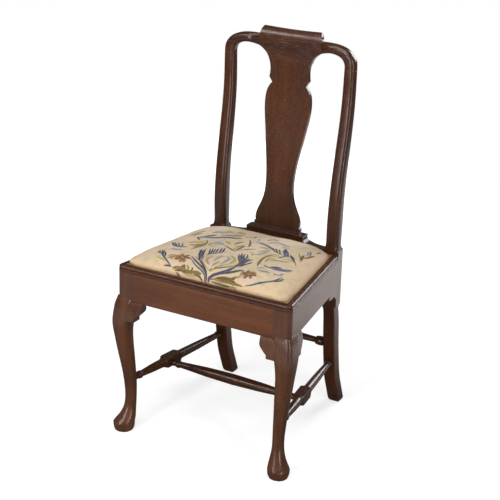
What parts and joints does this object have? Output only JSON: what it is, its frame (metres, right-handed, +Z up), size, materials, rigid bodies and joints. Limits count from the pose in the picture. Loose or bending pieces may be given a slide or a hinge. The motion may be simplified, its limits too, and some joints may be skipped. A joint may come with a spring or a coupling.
{
  "type": "side chair",
  "caption": "Upright wooden side chair with cabriole front legs, turned stretchers, a spooned vase splat and a lift-out padded seat covered in needlework.",
  "frame": {"origin": "on the floor, under the middle of the chair's overall width and depth", "axes": "+X to the chair's right as seen from the front, +Y from the front legs to the back, +Z up"},
  "size_m": [0.526, 0.499, 1.028],
  "materials": {
    "walnut": "dark red-brown wood, waxed and polished",
    "frame_wood": "plain unpolished secondary wood",
    "webbing": "woven jute webbing",
    "sackcloth": "coarse sackcloth",
    "stuffing": "packed hair stuffing",
    "needlework": "cream linen twill with crewel embroidery",
    "iron": "forged iron"
  },
  "bodies": {
    "chair": {"front_seat_rail": "walnut", "rear_seat_rail": "walnut", "left_seat_rail": "walnut", "right_seat_rail": "walnut", "front_lip_moulding": "walnut", "left_lip_moulding": "walnut", "right_lip_moulding": "walnut", "left_front_leg": "walnut", "right_front_leg": "walnut", "left_front_knee_bracket": "walnut", "right_front_knee_bracket": "walnut", "left_side_knee_bracket": "walnut", "right_side_knee_bracket": "walnut", "left_rear_post": "walnut", "right_rear_post": "walnut", "left_rear_bracket": "walnut", "right_rear_bracket": "walnut", "crest_rail": "walnut", "splat": "walnut", "splat_shoe": "walnut", "left_side_stretcher": "walnut", "right_side_stretcher": "walnut", "medial_stretcher": "walnut", "rear_stretcher": "walnut", "left_front_corner_block": "frame_wood", "right_front_corner_block": "frame_wood", "left_rear_corner_block": "frame_wood", "right_rear_corner_block": "frame_wood"},
    "slip_seat": {"slip_frame_front": "frame_wood", "slip_frame_rear": "frame_wood", "slip_frame_left": "frame_wood", "slip_frame_right": "frame_wood", "webbing": "webbing", "sackcloth": "sackcloth", "seat_stuffing": "stuffing", "needlework_cover": "needlework", "cover_tacks": "iron"}
  },
  "joints": [
    {"name": "slip_seat_lift", "type": "slide", "parent": "chair", "child": "slip_seat", "axis": [0, 0, 1], "range_m": [0, 0.08]}
  ]
}
